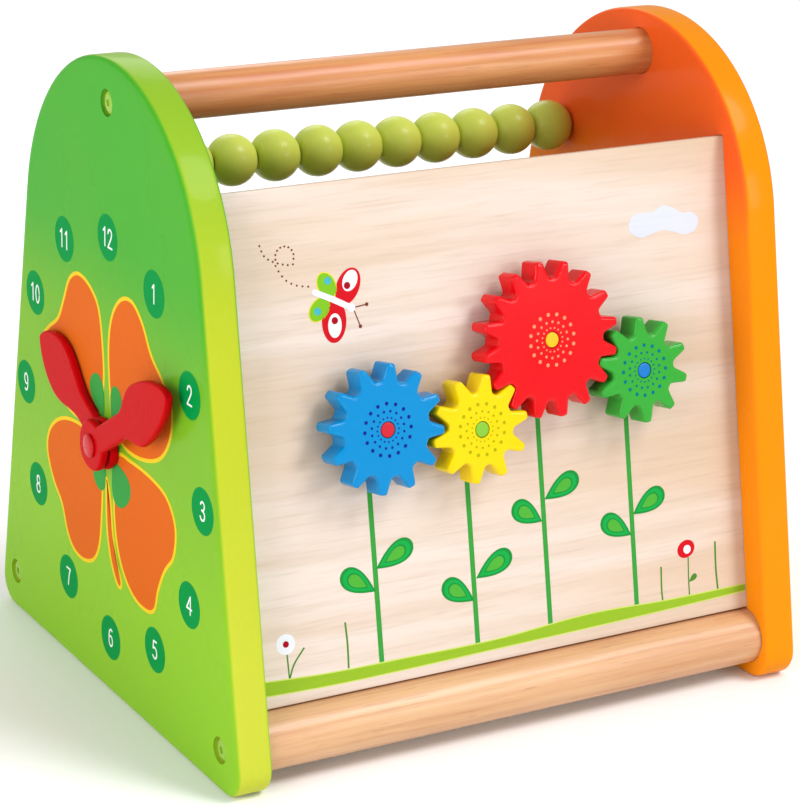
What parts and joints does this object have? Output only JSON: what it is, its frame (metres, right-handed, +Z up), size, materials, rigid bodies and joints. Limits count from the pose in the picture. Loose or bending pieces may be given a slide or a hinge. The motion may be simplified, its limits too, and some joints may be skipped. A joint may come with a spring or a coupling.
{
  "type": "wooden activity frame",
  "caption": "A-frame wooden baby activity toy with meshing flower gears on a slanted panel, sliding beads on a rod, a clock face with turning hands and a carrying bar.",
  "frame": {"origin": "middle of the toy's footprint, on the surface that the side boards stand on", "axes": "+X along the dowels from the clock board to the plain board, -Y towards the gear panel's side, +Z up"},
  "size_m": [0.3114, 0.2646, 0.303],
  "materials": {
    "green_paint": "gloss lacquer on plywood, leaf green running to lime at the edges",
    "orange_paint": "gloss lacquer on plywood, orange with a yellow edge",
    "beech": "clear-varnished turned dowel",
    "screw_steel": "domed head sunk in its recess",
    "plywood": "pale clear-varnished plywood with a printed meadow",
    "red_lacquer": "gloss lacquer with a printed flower of dots",
    "yellow_lacquer": "gloss lacquer with a printed flower of dots",
    "green_lacquer": "gloss lacquer with a printed flower of dots",
    "blue_lacquer": "gloss lacquer with a printed flower of dots",
    "pin_plastic": "pin whose head is the dot in the middle of its gear",
    "spacer_plastic": "white moulded ring",
    "rod_steel": "drawn rod",
    "bead_lacquer": "gloss lacquer on turned wood",
    "hand_lacquer": "gloss lacquer on thin plywood",
    "clock_pin_plastic": "domed pin through both hands"
  },
  "bodies": {
    "frame": {"green_side_board": "green_paint", "orange_side_board": "orange_paint", "handle_bar": "beech", "front_foot_bar": "beech", "rear_foot_bar": "beech", "handle_bar_left_screw": "screw_steel", "handle_bar_right_screw": "screw_steel", "front_foot_bar_left_screw": "screw_steel", "front_foot_bar_right_screw": "screw_steel", "rear_foot_bar_left_screw": "screw_steel", "rear_foot_bar_right_screw": "screw_steel", "front_panel": "plywood", "rear_panel": "plywood", "red_gear_pin": "pin_plastic", "red_gear_spacer": "spacer_plastic", "red_gear_retainer": "spacer_plastic", "yellow_gear_pin": "pin_plastic", "yellow_gear_spacer": "spacer_plastic", "yellow_gear_retainer": "spacer_plastic", "green_gear_pin": "pin_plastic", "green_gear_spacer": "spacer_plastic", "green_gear_retainer": "spacer_plastic", "blue_gear_pin": "pin_plastic", "blue_gear_spacer": "spacer_plastic", "blue_gear_retainer": "spacer_plastic", "bead_rod": "rod_steel", "clock_pin": "clock_pin_plastic", "clock_washer": "spacer_plastic", "clock_retainer": "spacer_plastic"},
    "red_gear": {"red_gear": "red_lacquer"},
    "yellow_gear": {"yellow_gear": "yellow_lacquer"},
    "green_gear": {"green_gear": "green_lacquer"},
    "blue_gear": {"blue_gear": "blue_lacquer"},
    "bead_01": {"bead_01": "bead_lacquer"},
    "bead_02": {"bead_02": "bead_lacquer"},
    "bead_03": {"bead_03": "bead_lacquer"},
    "bead_04": {"bead_04": "bead_lacquer"},
    "bead_05": {"bead_05": "bead_lacquer"},
    "bead_06": {"bead_06": "bead_lacquer"},
    "bead_07": {"bead_07": "bead_lacquer"},
    "bead_08": {"bead_08": "bead_lacquer"},
    "bead_09": {"bead_09": "bead_lacquer"},
    "bead_10": {"bead_10": "bead_lacquer"},
    "hour_hand": {"hour_hand": "hand_lacquer"},
    "minute_hand": {"minute_hand": "hand_lacquer"}
  },
  "joints": [
    {"name": "red_gear_spin", "type": "hinge", "parent": "frame", "child": "red_gear", "pos_m": [0.0269, -0.0867, 0.17749], "axis": [0, -0.9815, 0.1915], "continuous": true},
    {"name": "yellow_gear_spin", "type": "hinge", "parent": "frame", "child": "yellow_gear", "pos_m": [-0.0126, -0.09344, 0.14295], "axis": [0, -0.9815, 0.1915], "continuous": true},
    {"name": "green_gear_spin", "type": "hinge", "parent": "frame", "child": "green_gear", "pos_m": [0.0756, -0.09063, 0.15737], "axis": [0, -0.9815, 0.1915], "continuous": true},
    {"name": "blue_gear_spin", "type": "hinge", "parent": "frame", "child": "blue_gear", "pos_m": [-0.0603, -0.09212, 0.14972], "axis": [0, -0.9815, 0.1915], "continuous": true},
    {"name": "hour_hand_spin", "type": "hinge", "parent": "frame", "child": "hour_hand", "pos_m": [-0.15, 0, 0.125], "axis": [-1, 0, 0], "continuous": true},
    {"name": "minute_hand_spin", "type": "hinge", "parent": "frame", "child": "minute_hand", "pos_m": [-0.15, 0, 0.125], "axis": [-1, 0, 0], "continuous": true},
    {"name": "bead_01_slide", "type": "slide", "parent": "frame", "child": "bead_01", "axis": [1, 0, 0], "range_m": [-0.0408, 0]},
    {"name": "bead_02_slide", "type": "slide", "parent": "frame", "child": "bead_02", "axis": [1, 0, 0], "range_m": [-0.03672, 0]},
    {"name": "bead_03_slide", "type": "slide", "parent": "frame", "child": "bead_03", "axis": [1, 0, 0], "range_m": [-0.03264, 0]},
    {"name": "bead_04_slide", "type": "slide", "parent": "frame", "child": "bead_04", "axis": [1, 0, 0], "range_m": [-0.02856, 0]},
    {"name": "bead_05_slide", "type": "slide", "parent": "frame", "child": "bead_05", "axis": [1, 0, 0], "range_m": [-0.02448, 0]},
    {"name": "bead_06_slide", "type": "slide", "parent": "frame", "child": "bead_06", "axis": [1, 0, 0], "range_m": [-0.0204, 0]},
    {"name": "bead_07_slide", "type": "slide", "parent": "frame", "child": "bead_07", "axis": [1, 0, 0], "range_m": [-0.01632, 0]},
    {"name": "bead_08_slide", "type": "slide", "parent": "frame", "child": "bead_08", "axis": [1, 0, 0], "range_m": [-0.01224, 0]},
    {"name": "bead_09_slide", "type": "slide", "parent": "frame", "child": "bead_09", "axis": [1, 0, 0], "range_m": [-0.00816, 0]},
    {"name": "bead_10_slide", "type": "slide", "parent": "frame", "child": "bead_10", "axis": [1, 0, 0], "range_m": [-0.00408, 0]}
  ],
  "couplings": [
    {"joint": "yellow_gear_spin", "follows": "red_gear_spin", "ratio": -1.6},
    {"joint": "green_gear_spin", "follows": "red_gear_spin", "ratio": -1.6},
    {"joint": "blue_gear_spin", "follows": "red_gear_spin", "ratio": 1.3333},
    {"joint": "bead_02_slide", "follows": "bead_01_slide", "ratio": 0.9},
    {"joint": "bead_03_slide", "follows": "bead_01_slide", "ratio": 0.8},
    {"joint": "bead_04_slide", "follows": "bead_01_slide", "ratio": 0.7},
    {"joint": "bead_05_slide", "follows": "bead_01_slide", "ratio": 0.6},
    {"joint": "bead_06_slide", "follows": "bead_01_slide", "ratio": 0.5},
    {"joint": "bead_07_slide", "follows": "bead_01_slide", "ratio": 0.4},
    {"joint": "bead_08_slide", "follows": "bead_01_slide", "ratio": 0.3},
    {"joint": "bead_09_slide", "follows": "bead_01_slide", "ratio": 0.2},
    {"joint": "bead_10_slide", "follows": "bead_01_slide", "ratio": 0.1}
  ]
}
